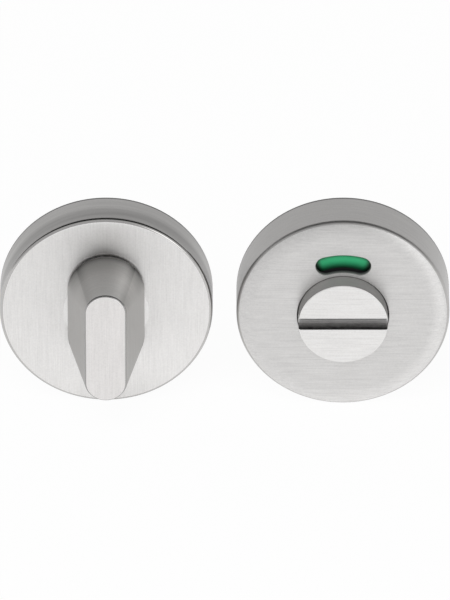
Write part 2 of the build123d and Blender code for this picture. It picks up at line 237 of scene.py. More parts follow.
class TurnSizes(bpy.types.PropertyGroup):
    """The thumb turn."""

    foot_width: length("Foot width", "Width of the grip at the rose", 19.2 * MM)
    foot_length: length("Foot length", "Length of the grip at the rose", 32.4 * MM)
    front_width: length("Front width", "Width of the grip's front", 10.3 * MM)
    front_length: length("Front length", "Length of the grip's front", 30.4 * MM)
    foot_gap: length("Foot gap", "From the rose to the grip", 0.7 * MM)
    front_edge: length("Front edge", "Edge radius of the front", 0.5 * MM)
    foot_edge: length("Foot edge", "Edge radius of the foot", 0.25 * MM)
    neck: length("Neck radius", "Radius of the round neck", 7.0 * MM)
    bar_depth: length("Bar depth", "Depth of the square hole in the grip", 9.0 * MM)


class ButtonSizes(bpy.types.PropertyGroup):
    """The release button."""

    edge: length("Button edge", "Edge radius of the button's front", 0.25 * MM)
    skirt: length("Button skirt", "From the indicator disc's front to the button's back", 1.4 * MM)
    slot_width: length("Slot width", "Width of the coin slot", 2.7 * MM)
    slot_depth: length("Slot depth", "Depth of the coin slot", 2.8 * MM)
    neck: length("Neck radius", "Radius of the neck behind the button", 6.0 * MM)
    socket_floor: length("Socket floor", "Steel left between the socket and the slot", 1.0 * MM)


class NeckSizes(bpy.types.PropertyGroup):
    """What the two necks share."""

    square: length("Square", "Side of the square hole", 5.1 * MM)
    flat: length("Flat depth", "How deep the two flats are cut", 0.8 * MM)
    groove: length("Groove depth", "Depth of the circlip's groove", 0.3 * MM)
    mouth: length("Mouth", "Chamfer at the neck's end", 0.25 * MM)


class ScrewSizes(bpy.types.PropertyGroup):
    """The countersunk wood screws."""

    circle: length("Screw circle", "From a rose's middle to a screw", 19.0 * MM)
    head: length("Head radius", "Radius of the countersunk head", 3.4 * MM)
    rim: length("Head rim", "Height of the head's straight rim", 0.4 * MM)
    thread: length("Thread radius", "Outer radius of the thread", 1.72 * MM)
    core: length("Core radius", "Radius of the shank and of the thread's core", 1.2 * MM)
    pitch: length("Pitch", "Rise of the thread in one turn", 1.6 * MM)
    tooth: length("Tooth", "Width of the thread's tooth at its root", 0.8 * MM)
    bite: length("Bite", "How deep the tooth's root lies in the core", 0.1 * MM)
    start: length("Thread start", "How far behind the door's face the thread starts", 0.3 * MM)
    plain: length("Plain length", "Least length behind the door that the thread leaves plain", 1.0 * MM)
    tip: length("Tip", "Length of the pointed end", 3.5 * MM)
    blunt: length("Blunt", "How far the point is cut short", 0.3 * MM)
    cross_width: length("Cross width", "Width of the cross recess", 0.9 * MM)
    cross_length: length("Cross length", "Length of the cross recess", 3.6 * MM)
    cross_depth: length("Cross depth", "Depth of the cross recess", 1.3 * MM)


class Value:
    """A number, colour or vector on its way through the nodes, which takes part in plain sums."""

    def __init__(self, graph, socket):
        self.graph = graph
        self.socket = socket

    def __add__(self, other):
        return self.graph.math("ADD", self, other)

    def __sub__(self, other):
        return self.graph.math("SUBTRACT", self, other)

    def __rsub__(self, other):
        return self.graph.math("SUBTRACT", other, self)

    def __mul__(self, other):
        return self.graph.math("MULTIPLY", self, other)

    def __truediv__(self, other):
        return self.graph.math("DIVIDE", self, other)

    __radd__ = __add__
    __rmul__ = __mul__


class Graph:
    """A node tree that is written as Python expressions."""

    def __init__(self, tree):
        self.tree = tree

    def node(self, kind, settings, inputs, output=0):
        """Adds a node: its settings first, then the values or links of its sockets."""
        made = self.tree.nodes.new(kind)
        for name, value in settings.items():
            setattr(made, name, value)
        for name, value in inputs.items():
            if isinstance(value, Value):
                self.tree.links.new(value.socket, made.inputs[name])
            else:
                made.inputs[name].default_value = value
        return Value(self, made.outputs[output])

    def math(self, operation, *values):
        return self.node("ShaderNodeMath", {"operation": operation}, dict(enumerate(values)))

    def root(self, value):
        return self.math("SQRT", value)

    def size(self, value):
        """A number without its sign."""
        return self.math("ABSOLUTE", value)

    def step(self, value, low, high):
        """A soft step from 0 at low to 1 at high."""
        settings = {"interpolation_type": "SMOOTHSTEP"}
        return self.node("ShaderNodeMapRange", settings, {"Value": value, "From Min": low, "From Max": high})

    def grow(self, value, low, high, amount):
        """A soft step from 0 at low to an amount at high."""
        return self.step(value, low, high) * amount

    def fade(self, value, low, high, amount):
        """A soft step from an amount at low to 0 at high."""
        return (1 - self.step(value, low, high)) * amount

    def axes(self, vector):
        """The three parts of a vector."""
        split = self.node("ShaderNodeSeparateXYZ", {}, {0: vector})
        return [Value(self, part) for part in split.socket.node.outputs]


class Finish(Graph):
    """One material under construction, read in the piece's own coordinates from the middle of its rose."""

    def __init__(self, name, centre_x=0.0):
        self.material = bpy.data.materials.new(name)
        self.material.use_nodes = True
        super().__init__(self.material.node_tree)
        self.shader = self.tree.nodes["Principled BSDF"]
        place = self.node("ShaderNodeTexCoord", {}, {}, "Object")
        self.place = self.stretched((1, 1, 1), place, (-centre_x, 0, 0))

    def stretched(self, scale, place=None, shift=(0, 0, 0)):
        """The place with each axis scaled, so that a pattern draws out into lines."""
        inputs = {"Vector": place or self.place, "Location": shift, "Scale": scale}
        return self.node("ShaderNodeMapping", {"vector_type": "POINT"}, inputs)

    def grain(self, scale, detail=2.0):
        """Noise from 0 to 1, with its own scale along each axis, in features per metre."""
        inputs = {"Vector": self.stretched(scale), "Scale": 1.0, "Detail": detail, "Roughness": 0.6}
        return self.node("ShaderNodeTexNoise", {}, inputs)

    def set(self, **values):
        """Sets or links the shader's sockets. An underscore stands for a space."""
        for name, value in values.items():
            socket = self.shader.inputs[name.replace("_", " ")]
            if isinstance(value, Value):
                self.tree.links.new(value.socket, socket)
            else:
                socket.default_value = value

    def bump(self, height, depth):
        """Raises the surface by height, where 1 is depth metres."""
        inputs = {"Height": height, "Distance": depth, "Strength": 1.0}
        self.set(Normal=self.node("ShaderNodeBump", {}, inputs))

    def shade(self, base, amount):
        """The base colour times a varying amount."""
        return self.node("ShaderNodeVectorMath", {"operation": "MULTIPLY"}, {0: tuple(base), 1: amount})


# Patterns, in features per metre along X, Y and Z.
FINE = 7000.0
COARSE = 2000.0
ALONG_X = (110.0, FINE, FINE)
ALONG_Z = (FINE, FINE, 110.0)
ROUND = (120.0, FINE, 120.0)
STEEL_SPECKS = (2600.0, 2600.0, 2600.0)
STEEL_CLOUDS = (110.0, 110.0, 110.0)
PLATE_CLOUDS = (600.0, 600.0, 600.0)
MOULD_PITS = (5000.0, 5000.0, 5000.0)
MOULD_CLOUDS = (120.0, 120.0, 120.0)
SIDE_STREAKS = (24.0, 420.0, 24.0)
SLOT_MOTTLE = (700.0, 1200.0, 1200.0)

# How much each pattern of the steel changes its tone and its roughness, and its share in the relief.
LINE_TONE = 0.2
WIDE_LINE_TONE = 0.13
SPECK_TONE = 0.14
CLOUD_TONE = 0.09
LINE_SHEEN = 0.06
CLOUD_SHEEN = 0.08
LINE_RELIEF = 0.6
WIDE_LINE_RELIEF = 0.4
SPECK_RELIEF = 0.4
RELIEF_DEPTH = 1.4e-6


def sway(pattern, amount):
    """A pattern from 0 to 1 as a change about nothing, of an amount from end to end."""
    return (pattern - 0.5) * amount


def steel_finish(name, base, centre_x, lines, rough, spread=0.0, turn=0.0, contrast=1.0, marks=None,
                 metal=1.0):
    """Brushed steel: fine and wider lines, specks and a faint cloudiness.

    Marks is a function that gets the finish and returns a darkening of its own, from 0 to 1."""
    finish = Finish(name, centre_x)
    fine = finish.grain(lines)
    wide = finish.grain(tuple(COARSE if scale == FINE else scale for scale in lines), 1.0)
    specks = finish.grain(STEEL_SPECKS, 1.0)
    cloud = finish.grain(STEEL_CLOUDS, 3.0)
    tone = sway(fine, LINE_TONE * contrast) + sway(wide, WIDE_LINE_TONE * contrast)
    tone = tone + sway(specks, SPECK_TONE) + sway(cloud, CLOUD_TONE) + 1.0
    if marks:
        tone = tone * (1 - marks(finish))
    finish.set(Base_Color=finish.shade(base, tone), Metallic=metal)
    finish.set(Roughness=rough + sway(cloud, CLOUD_SHEEN) + sway(fine, LINE_SHEEN))
    finish.set(Anisotropic=spread, Anisotropic_Rotation=turn)
    finish.bump(fine * LINE_RELIEF + wide * WIDE_LINE_RELIEF + specks * SPECK_RELIEF, RELIEF_DEPTH)
    return finish.material


# Marks that darken the base colour, each with where it starts, where it ends and by how much it darkens.
# A FADE takes that much back again. Off the door:
# Painted shade: a dark line along the rim at the door.
RIM_SHADE_LINE = (0.3 * MM, 0.9 * MM, 0.75)
SIDE_RING = (3.4 * MM, 6.6 * MM, 0.22)
SIDE_RING_FADE = (7.6 * MM, 9.0 * MM, 0.08)
# Painted shade on the coin slot's wall, darkest at its lip.
SLOT_LIP_SHADE = (14.2 * MM, 17.0 * MM, 0.8)
# Painted shade down the window's wall.
WINDOW_DEPTH_SHADE = (OUTSIDE_H - 1.3 * MM, OUTSIDE_H + 0.3 * MM, 0.85)
# Painted shade on the grip's round ends near the rose.
GRIP_FOOT_SHADE = (INSIDE_H, INSIDE_H + 10 * MM, 0.47)
GRIP_FOOT_SHADE_LINE = (INSIDE_H, INSIDE_H + 3.5 * MM, 0.4)
# Along the grip, from its middle:
GRIP_END = (6 * MM, 12 * MM, 1.0)
# Painted shade on the flanks fades over the ends, and painted shade lines run along the bends.
FLANK_SHADE_FADE = (9 * MM, 12.6 * MM, 0.04)
END_CREASE_SHADE = (12.5 * MM, 12.8 * MM, 0.12)
END_CREASE_SHADE_FADE = (12.8 * MM, 14.8 * MM, 0.24)
# From the button's axis, and for a field's ends in the measure that field_shadow gives:
# Painted shadow of the window's walls on the coloured fields.
FIELD_INNER_SHADOW = (12.6 * MM, 15.8 * MM, 0.94)
FIELD_OUTER_SHADOW = (15.8 * MM, 16.3 * MM, 0.35)
FIELD_END_SHADOW = (0.1, 0.155, 0.94)
# All over:
# Painted shade over the grip's flanks.
FLANK_SHADE = 0.15
STREAKS_DARK = 0.42
STREAKS_LIGHT = 0.18
MOTTLE_DARK = 0.7


def height_of(finish):
    """How far a point stands off the door."""
    return 0 - finish.axes(finish.place)[1]


def rim_shade(finish):
    """A painted shadow line along the rim at the door."""
    return finish.fade(height_of(finish), *RIM_SHADE_LINE)


def side_shade_and_streaks(finish):
    """The painted shadow line at the door, a darker ring round the side and soft streaks along it."""
    height = height_of(finish)
    streaks = finish.grain(SIDE_STREAKS, 1.5) * STREAKS_DARK - STREAKS_LIGHT
    ring = finish.grow(height, *SIDE_RING) - finish.grow(height, *SIDE_RING_FADE)
    return rim_shade(finish) + ring + streaks


def grip_shade(finish):
    """Painted shade: darkens the flanks a little, the round ends towards the foot, and a line on each side of
    the ends where the flanks bend into them.
    """
    along = finish.size(finish.axes(finish.place)[2])
    height = height_of(finish)
    foot = finish.fade(height, *GRIP_FOOT_SHADE) + finish.fade(height, *GRIP_FOOT_SHADE_LINE)
    flank = FLANK_SHADE - finish.grow(along, *FLANK_SHADE_FADE)
    line = finish.grow(along, *END_CREASE_SHADE) - finish.grow(along, *END_CREASE_SHADE_FADE)
    return finish.grow(along, *GRIP_END) * foot + flank + line


def slot_shade_and_mottle(finish):
    """Painted shade darkens the coin slot's wall towards its lip, and a mottle darkens it unevenly."""
    return finish.grow(height_of(finish), *SLOT_LIP_SHADE) + sway(finish.grain(SLOT_MOTTLE, 3.0), MOTTLE_DARK)


def window_shade(finish):
    """Painted shade: the window's wall darkens from its lip down into the rose."""
    return finish.fade(height_of(finish), *WINDOW_DEPTH_SHADE)


def field_shadow(finish):
    """Painted shadow: a coloured field darkens at its inner rim and its ends, and a little at its outer rim,
    where the window's walls shade it.
    """
    x, _, z = finish.axes(finish.place)
    radius = finish.root(x * x + z * z)
    # Squared, this is 0 at every quarter turn and 1/4 midway between two.
    across = x * z / (radius * radius)
    rim = finish.fade(radius, *FIELD_INNER_SHADOW)
    ends = finish.grow(across * across, *FIELD_END_SHADOW)
    dark = rim + ends - rim * ends
    return dark + finish.grow(radius, *FIELD_OUTER_SHADOW) * (1 - dark)


def edge_finish(name, base, centre_x, rough, tone=0.12, sheen=0.08):
    """A broken and polished edge with fine specks, which change its tone and its roughness a little."""
    finish = Finish(name, centre_x)
    specks = finish.grain(STEEL_SPECKS)
    finish.set(Base_Color=finish.shade(base, 1 + sway(specks, tone)), Metallic=1.0)
    finish.set(Roughness=rough + sway(specks, sheen))
    return finish.material


def plated_finish(name, base, rough, tone=0.2, sheen=0.16, relief=4.0e-6):
    """Plated or blued steel with a slightly cloudy coat."""
    finish = Finish(name)
    cloud = finish.grain(PLATE_CLOUDS, 3.0)
    finish.set(Base_Color=finish.shade(base, 1 + sway(cloud, tone)), Metallic=1.0)
    finish.set(Roughness=rough + sway(cloud, sheen))
    finish.bump(cloud, relief)
    return finish.material


def moulded_finish(name, base, rough, relief, centre_x=0.0, marks=None, gloss=0.5, cloudy=0.24, sheen=0.2):
    """Moulded plastic with a fine matt texture. Marks works as it does for steel."""
    finish = Finish(name, centre_x)
    pits = finish.grain(MOULD_PITS)
    tone = 1 + sway(finish.grain(MOULD_CLOUDS), cloudy)
    if marks:
        tone = tone * (1 - marks(finish))
    finish.set(Base_Color=finish.shade(base, tone), Roughness=rough + sway(pits, sheen))
    finish.set(Specular_IOR_Level=gloss)
    finish.bump(pits, relief)
    return finish.material


def paint(material, *nodes):
    """Gives frame nodes their material."""
    for name in nodes:
        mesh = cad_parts[name].data
        mesh.materials.clear()
        mesh.materials.append(material)


class Piece:
    """A piece under construction, lying on its back: its axis at the origin and its height along +Z."""

    def __init__(self):
        self.bm = bmesh.new()

    def loop(self, verts):
        """The edges between the given vertices."""
        chosen = set(verts)
        return [edge for edge in self.bm.edges if set(edge.verts) <= chosen]

    def ring(self, radius, height, segments=STEPS_ROUND, turn=0.0):
        """A circle of edges, or a polygon with its corners on that circle."""
        place = Matrix.Translation((0, 0, height)) @ Matrix.Rotation(turn, 4, "Z")
        made = bmesh.ops.create_circle(self.bm, segments=segments, radius=radius, matrix=place)
        return self.loop(made["verts"])

    def corners(self, edges):
        """The vertices of the given edges."""
        return list({vert for edge in edges for vert in edge.verts})

    def spun(self, outline):
        """Turns a closed outline of (radius, height) corners into a round body."""
        verts = [self.bm.verts.new((radius, 0, height)) for radius, height in outline]
        edges = [self.bm.edges.new((verts[at - 1], verts[at])) for at in range(len(verts))]
        bmesh.ops.spin(
            self.bm, geom=verts + edges, cent=(0, 0, 0), axis=(0, 0, 1), angle=2 * pi, steps=STEPS_ROUND,
            use_merge=True,
        )
        self.clean()

    def clean(self):
        """Merges doubles and turns every face outwards."""
        bmesh.ops.remove_doubles(self.bm, verts=self.bm.verts, dist=HAIR / 10)
        bmesh.ops.recalc_face_normals(self.bm, faces=self.bm.faces)

    def drawn(self, edges, rise=0.0, scale=1.0):
        """Draws a loop of edges out to a new loop, raised and scaled about the axis."""
        made = bmesh.ops.extrude_edge_only(self.bm, edges=edges)["geom"]
        verts = [item for item in made if isinstance(item, bmesh.types.BMVert)]
        bmesh.ops.scale(self.bm, vec=(scale, scale, 1), verts=verts)
        bmesh.ops.translate(self.bm, vec=(0, 0, rise), verts=verts)
        return self.loop(verts)

    def closed(self, edges):
        """Fills one loop with a single face."""
        return bmesh.ops.contextual_create(self.bm, geom=edges)["faces"]

    def filled(self, *loops):
        """Fills the flat area between loops, the first of them outside the rest."""
        edges = [edge for loop in loops for edge in loop]
        bmesh.ops.triangle_fill(self.bm, use_beauty=True, edges=edges, normal=(0, 0, 1))

    def at(self, height, radius=None):
        """The edges that lie at one height, and on one radius where it is given."""
        def fits(vert):
            level = abs(vert.co.z - height) < HAIR
            return level and (radius is None or abs(hypot(vert.co.x, vert.co.y) - radius) < HAIR)
        return [edge for edge in self.bm.edges if all(fits(vert) for vert in edge.verts)]

    def outline_at(self, height, radius=None):
        """The edges at one height where two faces meet at an angle."""
        return [edge for edge in self.at(height, radius)
                if len(edge.link_faces) == 2 and edge.calc_face_angle() > SHARP]

    def rounded(self, edges, size, segments=4):
        """Rounds edges off."""
        bmesh.ops.bevel(
            self.bm, geom=edges, offset=size, offset_type="OFFSET", affect="EDGES", segments=segments,
            profile=0.5, material=-1, clamp_overlap=False,
        )

    def finished(self, name, node, body, slot, centre_x, materials, material_of=None):
        """Stands the piece up in its place, makes it an object and ties it to the frame."""
        bm = self.bm
        self.clean()
        for face in bm.faces:
            face.smooth = True
            if material_of:
                face.material_index = material_of(face)
        for edge in bm.edges:
            if len(edge.link_faces) == 2:
                edge.smooth = edge.calc_face_angle() < SHARP
        stand = Matrix.Translation((centre_x, 0, 0)) @ Matrix.Rotation(radians(90), 4, "X")
        bmesh.ops.transform(bm, matrix=stand, verts=bm.verts)
        mesh = bpy.data.meshes.new(name)
        bm.to_mesh(mesh)
        bm.free()
        for material in materials:
            mesh.materials.append(material)
        piece = bpy.data.objects.new(name, mesh)
        bpy.context.scene.collection.objects.link(piece)
        weighted = piece.modifiers.new("even_normals", "WEIGHTED_NORMAL")
        weighted.keep_sharp = True
        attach(piece, body)
        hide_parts(node)
        return piece


# Where each finish stands in its piece's list.
FACE, SIDE, EDGE = range(3)
RING = FOOT_RIM = WINDOW_WALL = SLOT_FLOOR = 3
SLOT_WALL = 4

# How far a normal rises on a flat face at least, and on an upright one at most.
FLAT = 0.98
UPRIGHT = 0.3


def finish_by_slope(part, flat=FLAT):
    """The flat face, the upright side, or the rounded edge between them."""
    if part.normal.z > flat:
        return FACE
    return SIDE if part.normal.z < UPRIGHT else EDGE


# The mirrored floor changes from its left to its right level along X, to its level behind the roses
# along Y, and to its level further off with the distance from the plane of their backs.
FLOOR_RIGHT = (-60 * MM, 140 * MM)
FLOOR_BEHIND = (50 * MM, 110 * MM)
FLOOR_FAR = (10 * MM, 110 * MM)

# In directions of length 1, the room changes from front to back along Y, and the softbox ends along Z.
ROOM_BACK = (-0.5, 0.5)
SOFTBOX_TOP = (0.3, 0.65)


class LOCKSET_OT_stage(bpy.types.Operator):
    """Sets the floor, the light and the camera"""

    bl_idname = "lock_set.stage"
    bl_label = "Stage"

    def execute(self, context):
        settings = context.scene.lock_set_stage
        self.lay_floor(context.scene, settings)
        self.light_room(context.scene, settings)
        self.hang_lamp(context.scene, settings)
        self.place_camera(context.scene, settings)
        context.scene.view_settings.view_transform = "Standard"
        return {"FINISHED"}

    def lay_floor(self, scene, settings):
        bm = bmesh.new()
        bmesh.ops.create_grid(bm, x_segments=1, y_segments=1, size=settings.floor_half)
        bmesh.ops.translate(bm, vec=(0, 0, cad_low.z), verts=bm.verts)
        mesh = bpy.data.meshes.new("floor")
        bm.to_mesh(mesh)
        bm.free()
        floor = bpy.data.objects.new("floor", mesh)
        scene.collection.objects.link(floor)
        mesh.materials.append(self.floor_finish(settings))

    def floor_finish(self, settings):
        """A pale floor that is seen, and mirrored, as nearly even white with a faint shadow."""
        finish = Finish("pale_floor")
        finish.set(Base_Color=(*settings.floor_colour, 1), Roughness=0.9)
        camera = finish.node("ShaderNodeLightPath", {}, {}, "Is Camera Ray")
        outputs = camera.socket.node.outputs
        mirrored = Value(finish, outputs["Is Glossy Ray"]) + Value(finish, outputs["Is Transmission Ray"])
        x, y, _ = finish.axes(finish.place)
        gain = settings.mirrored_right - settings.mirrored_left
        sheen = settings.mirrored_left + finish.grow(x, *FLOOR_RIGHT, gain)
        sheen = sheen * (1 - finish.grow(y, *FLOOR_BEHIND, 1 - settings.mirrored_behind))
        sheen = sheen * (1 - finish.grow(finish.size(y), *FLOOR_FAR, 1 - settings.mirrored_far))
        white = finish.node("ShaderNodeEmission", {}, {"Strength": camera + mirrored * sheen})
        lit = Value(finish, finish.shader.outputs[0])
        seen = camera * settings.floor_white + mirrored * settings.mirrored_white
        both = finish.node("ShaderNodeMixShader", {}, {0: seen, 1: lit, 2: white})
        finish.tree.links.new(both.socket, finish.tree.nodes["Material Output"].inputs["Surface"])
        return finish.material

    def light_room(self, scene, settings):
        """A grey room with a dark strip along its ceiling and a low softbox at the right."""
        world = bpy.data.worlds.new("room")
        scene.world = world
        world.use_nodes = True
        graph = Graph(world.node_tree)
        direction = graph.node("ShaderNodeTexCoord", {}, {}, "Generated")
        x, y, z = graph.axes(direction)
        back = graph.step(y, *ROOM_BACK)
        room = settings.front_level * (1 - back) + settings.back_level * back
        lean = settings.ceiling_lean
        upward = (y * sin(lean) + z * cos(lean)) / graph.root(y * y + z * z)
        ceiling = graph.step(upward, cos(settings.ceiling_edge), cos(settings.ceiling_full))
        level = room * (1 - ceiling) + ceiling * settings.ceiling_level
        turn = settings.softbox_turn
        aside = (x * sin(turn) - y * cos(turn)) / graph.root(x * x + y * y)
        softbox = graph.step(aside, cos(settings.softbox_edge), cos(settings.softbox_full))
        level = level + softbox * graph.fade(z, *SOFTBOX_TOP, settings.softbox_level)
        background = world.node_tree.nodes["Background"]
        background.inputs["Color"].default_value = (1, 1, 1, 1)
        world.node_tree.links.new(level.socket, background.inputs["Strength"])

    def hang_lamp(self, scene, settings):
        """A large soft lamp over the front of the set, which the steel doesn't mirror."""
        light = bpy.data.lights.new("soft_lamp", "AREA")
        light.size = settings.lamp_size
        light.energy = settings.lamp_power
        lamp = bpy.data.objects.new("soft_lamp", light)
        lamp.location = settings.lamp_place
        away = lamp.location - Vector((OUTSIDE_X / 2, 0, 0))
        lamp.rotation_euler = away.to_track_quat("Z", "Y").to_euler()
        lamp.visible_glossy = False
        scene.collection.objects.link(lamp)

    def place_camera(self, scene, settings):
        data = bpy.data.cameras.new("camera")
        data.lens = settings.lens
        camera = bpy.data.objects.new("camera", data)
        scene.collection.objects.link(camera)
        back = Vector((0, -cos(settings.elevation), sin(settings.elevation)))
        camera.location = Vector(settings.target) + back * settings.distance
        camera.rotation_euler = (pi / 2 - settings.elevation, 0, 0)
        scene.camera = camera


class LOCKSET_OT_inside_cover(bpy.types.Operator):
    """Makes the shell of the thumb turn rose"""

    bl_idname = "lock_set.inside_cover"
    bl_label = "Thumb turn rose"

    def execute(self, context):
        sizes = context.scene.lock_set_cover
        colours = context.scene.lock_set_colours
        inner = ROSE_R - sizes.sheet
        under = INSIDE_H - sizes.sheet
        piece = Piece()
        ring_top = INSIDE_H + sizes.ring_height
        piece.spun([
            (sizes.bush_hole, ring_top), (sizes.ring, ring_top), (sizes.ring, INSIDE_H), (ROSE_R, INSIDE_H),
            (ROSE_R, 0), (inner, 0), (inner, under), (sizes.bush_hole, under),
        ])
        piece.rounded(piece.at(INSIDE_H, ROSE_R), sizes.inside_edge, segments=6)
        piece.rounded(piece.at(ring_top, sizes.ring), sizes.ring_height / 2, segments=3)
        piece.rounded(piece.at(ring_top, sizes.bush_hole), sizes.hole_edge, segments=2)
        piece.rounded(piece.at(0, ROSE_R) + piece.at(0, inner), sizes.back_edge, segments=2)
        face = steel_finish(
            "brushed_inside_face", colours.inside_steel, INSIDE_X, ALONG_Z, rough=0.38, spread=0.7,
        )
        side = steel_finish(
            "turned_shaded_inside_side", colours.shaded_side_steel, INSIDE_X, ROUND, rough=0.36, marks=side_shade_and_streaks,
        )
        edge = edge_finish("polished_inside_edge", colours.shaded_edge_steel, INSIDE_X, rough=0.14)
        ring = steel_finish("turned_ring", colours.ring_steel, INSIDE_X, ROUND, rough=0.3)
        ring_from = INSIDE_H + sizes.ring_height / 2
        piece.finished(
            "inside_rose_shell", "inside_rose_cover", "roses", "brushed_cover", INSIDE_X,
            [face, side, edge, ring],
            lambda part: RING if part.calc_center_median().z > ring_from else finish_by_slope(part),
        )
        return {"FINISHED"}


# The share of a full turn by which a sheen that spreads across upright lines is turned for level ones,
# how much steeper than the shoulder a part of the face may be, and the steps of the window's outline.
QUARTER = 0.25
SHOULDER_SLACK = 0.02
ARC_STEPS = 24
END_STEPS = 20


def shoulder_turn(sizes):
    """How far the shoulder has turned down where it meets the rim's edge."""
    return 2 * atan(sizes.shoulder_drop / sizes.shoulder)


class LOCKSET_OT_outside_cover(bpy.types.Operator):
    """Makes the shell of the release rose, with its window"""

    bl_idname = "lock_set.outside_cover"
    bl_label = "Release rose"

    def execute(self, context):
        sizes = context.scene.lock_set_cover
        colours = context.scene.lock_set_colours
        face = steel_finish(
            "brushed_outside_face", colours.outside_steel, OUTSIDE_X, ALONG_X, rough=0.46, spread=0.8,
            turn=QUARTER, contrast=1.35,
        )
        side = steel_finish(
            "turned_shaded_outside_side", colours.shaded_side_steel, OUTSIDE_X, ROUND, rough=0.38, marks=rim_shade,
        )
        edge = edge_finish("polished_outside_edge", colours.shaded_edge_steel, OUTSIDE_X, rough=0.4)
        window = steel_finish(
            "punched_window_wall", colours.shaded_window_wall_steel, OUTSIDE_X, ROUND, rough=0.6,
            marks=window_shade, metal=0.2,
        )
        piece = self.shell(sizes)
        self.cut_window(piece, sizes)
        piece.finished(
            "outside_rose_shell", "outside_rose_cover", "roses", "brushed_cover", OUTSIDE_X,
            [face, side, edge, window], lambda part: self.finish_of(part, sizes),
        )
        return {"FINISHED"}

    def finish_of(self, part, sizes):
        """The window's walls, or the face with its shoulder, the side and the edge."""
        radius = part.calc_center_median().xy.length
        past_hole = sizes.button_hole + sizes.hole_edge
        if part.normal.z < UPRIGHT and past_hole < radius < sizes.window_middle + sizes.window_width:
            return WINDOW_WALL
        return finish_by_slope(part, cos(shoulder_turn(sizes)) - SHOULDER_SLACK)

    def shell(self, sizes):
        """The round body: a flat face that falls to the rim in a long soft shoulder."""
        turn = shoulder_turn(sizes)
        flat = ROSE_R - sizes.outside_edge * (1 - sin(turn)) - sizes.shoulder
        shoulder_leg = sizes.shoulder / (1 + cos(turn))
        edge_leg = sizes.outside_edge * tan((pi / 2 - turn) / 2)
        bend = flat + shoulder_leg
        rim_height = OUTSIDE_H - (ROSE_R - bend) * tan(turn)
        inner = ROSE_R - sizes.sheet
        under = OUTSIDE_H - sizes.sheet
        piece = Piece()
        piece.spun([
            (sizes.button_hole, OUTSIDE_H), (bend, OUTSIDE_H), (ROSE_R, rim_height), (ROSE_R, 0), (inner, 0),
            (inner, under - sizes.shoulder_drop), (flat, under), (sizes.button_hole, under),
        ])
        piece.rounded(piece.at(rim_height, ROSE_R), edge_leg, segments=6)
        piece.rounded(piece.at(OUTSIDE_H, bend), shoulder_leg, segments=8)
        piece.rounded(piece.at(OUTSIDE_H, sizes.button_hole), sizes.hole_edge, segments=3)
        piece.rounded(piece.at(0, ROSE_R) + piece.at(0, inner), sizes.back_edge, segments=2)
        piece.clean()
        return piece

    def cut_window(self, piece, sizes):
        """Opens the flat face and the face under it, and lines the curved window between them."""
        under = OUTSIDE_H - sizes.sheet
        flat_faces = [
            part for part in piece.bm.faces
            if all(min(abs(v.co.z - OUTSIDE_H), abs(v.co.z - under)) < HAIR for v in part.verts)
            and abs(part.normal.z) > LEVEL
        ]
        bmesh.ops.delete(piece.bm, geom=flat_faces, context="FACES_ONLY")
        top_rings = [edge for edge in piece.at(OUTSIDE_H) if len(edge.link_faces) == 1]
        low_rings = [edge for edge in piece.at(under) if len(edge.link_faces) == 1]
        loose = [edge for edge in piece.bm.edges if not edge.link_faces]
        bmesh.ops.delete(piece.bm, geom=loose, context="EDGES")
        mouth = self.window_loop(piece, sizes, sizes.window_edge, OUTSIDE_H)
        throat = self.window_loop(piece, sizes, 0, OUTSIDE_H - sizes.window_edge)
        back = self.window_loop(piece, sizes, 0, under)
        piece.filled(top_rings, mouth)
        piece.filled(low_rings, back)
        bmesh.ops.bridge_loops(piece.bm, edges=mouth + throat)
        bmesh.ops.bridge_loops(piece.bm, edges=throat + back)

    def window_loop(self, piece, sizes, extra, height):
        """The window's outline: a vertex swept along one arc, round an end, back along the other arc and
        round the other end."""
        bm = piece.bm
        half = sizes.window_half
        reach = sizes.window_width / 2 + extra
        ends = [Vector((sin(side * half), cos(side * half), 0)) * sizes.window_middle for side in (1, -1)]
        first = bm.verts.new((ends[0].normalized() * (sizes.window_middle + reach)) + Vector((0, 0, height)))
        sweeps = (
            (Vector(), 2 * half, ARC_STEPS), (ends[1], pi, END_STEPS),
            (Vector(), -2 * half, ARC_STEPS), (ends[0], pi, END_STEPS),
        )
        tip = first
        verts = [first]
        for centre, sweep, steps in sweeps:
            made = bmesh.ops.spin(
                bm, geom=[tip], cent=centre + Vector((0, 0, height)), axis=(0, 0, 1), angle=sweep,
                steps=steps,
            )
            tip = next(item for item in made["geom_last"] if isinstance(item, bmesh.types.BMVert))
            verts = list({*verts, *self.chain(tip)})
        bmesh.ops.remove_doubles(bm, verts=verts, dist=HAIR)
        return piece.loop(self.chain(next(vert for vert in verts if vert.is_valid)))

    def chain(self, start):
        """The vertices that are joined to one by edges without faces."""
        found = {start}
        waiting = [start]
        while waiting:
            for edge in waiting.pop().link_edges:
                for vert in edge.verts:
                    if vert not in found:
                        found.add(vert)
                        waiting.append(vert)
        return found


GROOVE_PLAY = 0.1 * MM


def groove_for(circlip):
    """The lower and the upper end of a circlip's groove."""
    return back_height(circlip) - GROOVE_PLAY, front_height(circlip) + GROOVE_PLAY


